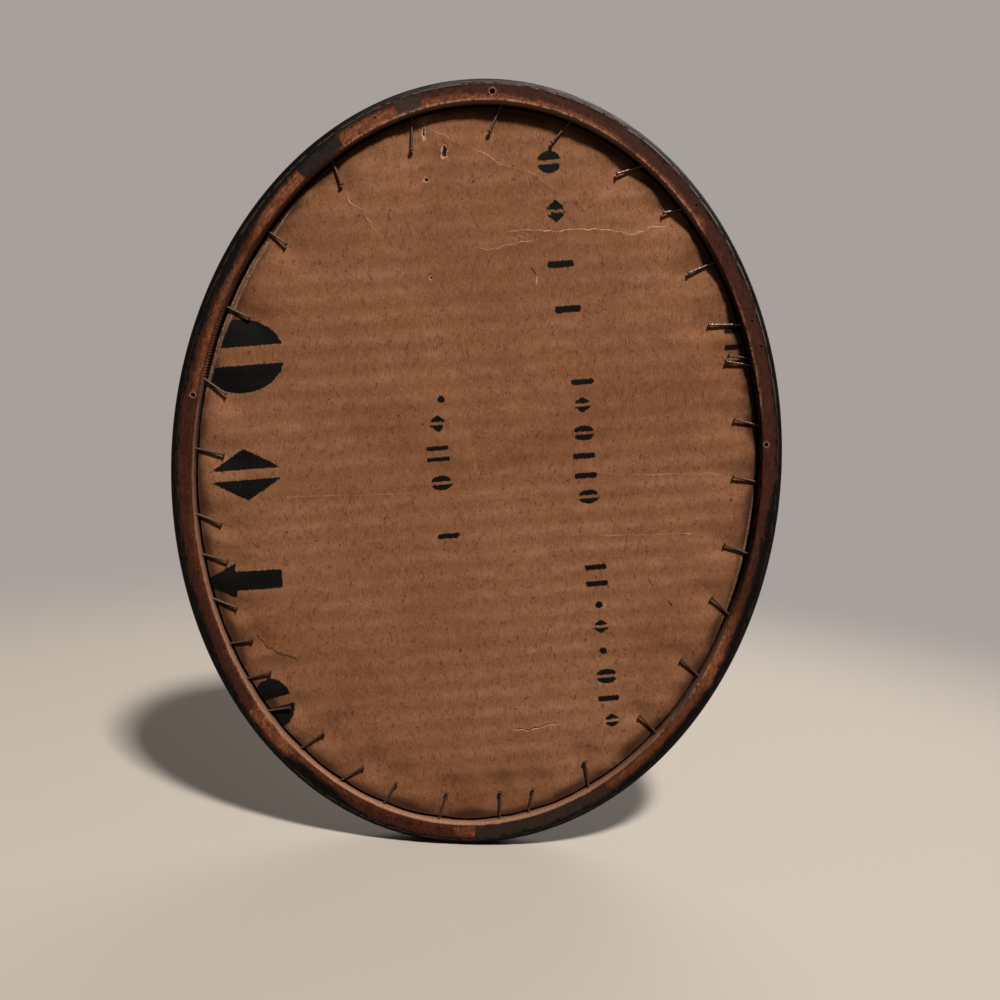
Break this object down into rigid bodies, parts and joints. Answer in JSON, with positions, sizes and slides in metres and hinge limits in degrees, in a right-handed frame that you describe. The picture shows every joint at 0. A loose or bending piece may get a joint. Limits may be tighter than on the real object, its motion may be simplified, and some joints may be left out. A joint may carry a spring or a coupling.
{
  "type": "oval picture frame",
  "caption": "Upright oval wooden picture frame with glass, blank picture sheet and a corrugated carton backing nailed into the rabbet with brads.",
  "frame": {"origin": "middle of the whole frame, half way through its depth", "axes": "+Z along the oval's long axis, up when it hangs; +Y out of the back, where the carton and brads show; -Y out of the glass; X across"},
  "size_m": [0.3054, 0.019, 0.3834],
  "materials": {
    "rim_wood": "worn stained wood behind, black lacquer on the sides and front",
    "dowel_wood": "raw",
    "glass": "clear",
    "picture_paper": "matt, aged",
    "carton": "matt, stained",
    "brad_steel": "dull, rusted"
  },
  "bodies": {
    "root": {"rim_top": "rim_wood", "rim_right": "rim_wood", "rim_bottom": "rim_wood", "rim_left": "rim_wood", "dowel_upper_left": "dowel_wood", "dowel_upper_right": "dowel_wood", "dowel_lower_right": "dowel_wood", "dowel_lower_left": "dowel_wood", "glass_pane": "glass", "picture_sheet": "picture_paper", "backing_front_liner": "carton", "backing_fluting": "carton", "backing_rear_liner": "carton", "brad_01": "brad_steel", "brad_02": "brad_steel", "brad_03": "brad_steel", "brad_04": "brad_steel", "brad_05": "brad_steel", "brad_06": "brad_steel", "brad_07": "brad_steel", "brad_08": "brad_steel", "brad_09": "brad_steel", "brad_10": "brad_steel", "brad_11": "brad_steel", "brad_12": "brad_steel", "brad_13": "brad_steel", "brad_14": "brad_steel", "brad_15": "brad_steel", "brad_16": "brad_steel", "brad_17": "brad_steel", "brad_18": "brad_steel", "brad_19": "brad_steel", "brad_20": "brad_steel", "brad_21": "brad_steel", "brad_22": "brad_steel", "brad_23": "brad_steel", "brad_24": "brad_steel", "brad_25": "brad_steel", "brad_26": "brad_steel", "brad_27": "brad_steel", "brad_28": "brad_steel", "brad_29": "brad_steel", "brad_30": "brad_steel", "brad_31": "brad_steel", "brad_32": "brad_steel", "brad_33": "brad_steel"}
  },
  "joints": []
}
